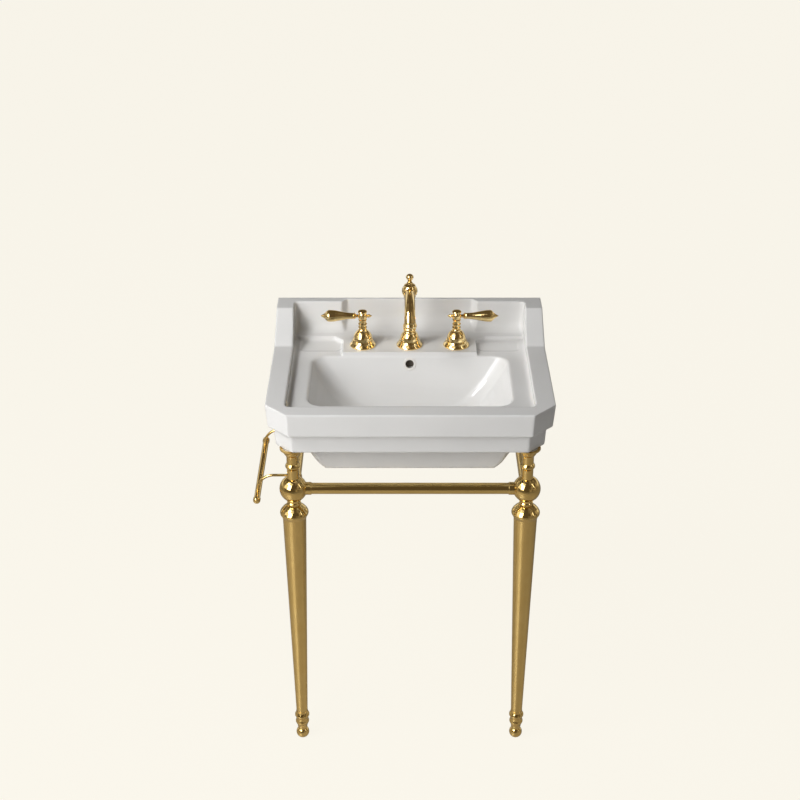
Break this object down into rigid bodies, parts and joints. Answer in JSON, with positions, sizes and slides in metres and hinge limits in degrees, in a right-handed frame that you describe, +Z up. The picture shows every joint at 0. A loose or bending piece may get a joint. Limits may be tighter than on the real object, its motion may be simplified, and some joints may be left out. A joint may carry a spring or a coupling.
{
  "type": "washstand basin",
  "caption": "Stepped china washbasin with upstand on turned brass front legs, lever taps, centre spout with pop-up waste, and a side towel rail.",
  "frame": {"origin": "midway between the two wall-bolt holes, on the wall plane at the back of the basin", "axes": "+Z up, +Y into the wall, +X to the right seen from the front"},
  "size_m": [0.646, 0.473, 1.051],
  "materials": {
    "china": "glossy white glaze",
    "chrome_trim": "polished chrome",
    "gold_finish": "polished, lacquered gold tone",
    "polished_brass": "polished",
    "satin_brass": "satin brushed",
    "raw_brass": "machined, unpolished",
    "rubber": "matt",
    "steel": "zinc plated"
  },
  "bodies": {
    "stand_and_basin": {"basin": "china", "overflow_ring": "chrome_trim", "waste_flange": "gold_finish", "waste_washer": "rubber", "waste_back_nut": "raw_brass", "waste_tail": "raw_brass", "pivot_nut": "raw_brass", "deck_washers": "rubber", "lock_nuts": "raw_brass", "spout": "gold_finish", "spout_bell": "gold_finish", "aerator": "raw_brass", "spout_tee": "raw_brass", "link_nuts": "raw_brass", "support_pads": "rubber", "grub_screws": "steel", "front_rail": "polished_brass", "rail_ferrules": "polished_brass", "wall_flanges": "polished_brass", "towel_bar": "polished_brass", "towel_bar_caps": "polished_brass", "towel_arms": "polished_brass", "left_valve_bell": "gold_finish", "left_valve_body": "raw_brass", "left_link_pipe": "raw_brass", "left_neck": "polished_brass", "left_ball_joint": "polished_brass", "left_collar": "polished_brass", "left_leg": "satin_brass", "left_foot": "polished_brass", "left_side_rail": "satin_brass", "right_valve_bell": "gold_finish", "right_valve_body": "raw_brass", "right_link_pipe": "raw_brass", "right_neck": "polished_brass", "right_ball_joint": "polished_brass", "right_collar": "polished_brass", "right_leg": "satin_brass", "right_foot": "polished_brass", "right_side_rail": "satin_brass"},
    "left_lever": {"left_spindle": "gold_finish", "left_lever_hub": "gold_finish", "left_lever_arm": "gold_finish", "left_lever_finial": "gold_finish", "left_hub_cap": "gold_finish", "left_handle_screw": "gold_finish"},
    "right_lever": {"right_spindle": "gold_finish", "right_lever_hub": "gold_finish", "right_lever_arm": "gold_finish", "right_lever_finial": "gold_finish", "right_hub_cap": "gold_finish", "right_handle_screw": "gold_finish"},
    "lift_control": {"lift_rod": "gold_finish", "lift_knob": "gold_finish", "clevis_strap": "steel", "clevis_screw": "raw_brass"},
    "plug": {"plug_stopper": "gold_finish"},
    "plug_lever": {"pivot_rod": "steel"}
  },
  "joints": [
    {"name": "left_lever_turn", "type": "hinge", "parent": "stand_and_basin", "child": "left_lever", "pos_m": [-0.106, -0.116, 0.121], "axis": [0, 0, 1], "range_deg": [0, 90]},
    {"name": "right_lever_turn", "type": "hinge", "parent": "stand_and_basin", "child": "right_lever", "pos_m": [0.106, -0.116, 0.121], "axis": [0, 0, -1], "range_deg": [0, 90]},
    {"name": "lift_rod_slide", "type": "slide", "parent": "stand_and_basin", "child": "lift_control", "axis": [0, 0, 1], "range_m": [0, 0.03]},
    {"name": "plug_slide", "type": "slide", "parent": "stand_and_basin", "child": "plug", "axis": [0, 0, -1], "range_m": [0, 0.00534]},
    {"name": "plug_lever_tilt", "type": "hinge", "parent": "stand_and_basin", "child": "plug_lever", "pos_m": [0, -0.251, -0.135], "axis": [1, 0, 0], "range_deg": [0, 12.74]}
  ],
  "couplings": [
    {"joint": "plug_slide", "follows": "lift_rod_slide", "ratio": 0.17778},
    {"joint": "plug_lever_tilt", "follows": "lift_rod_slide", "rad_per_m": 7.4074}
  ]
}
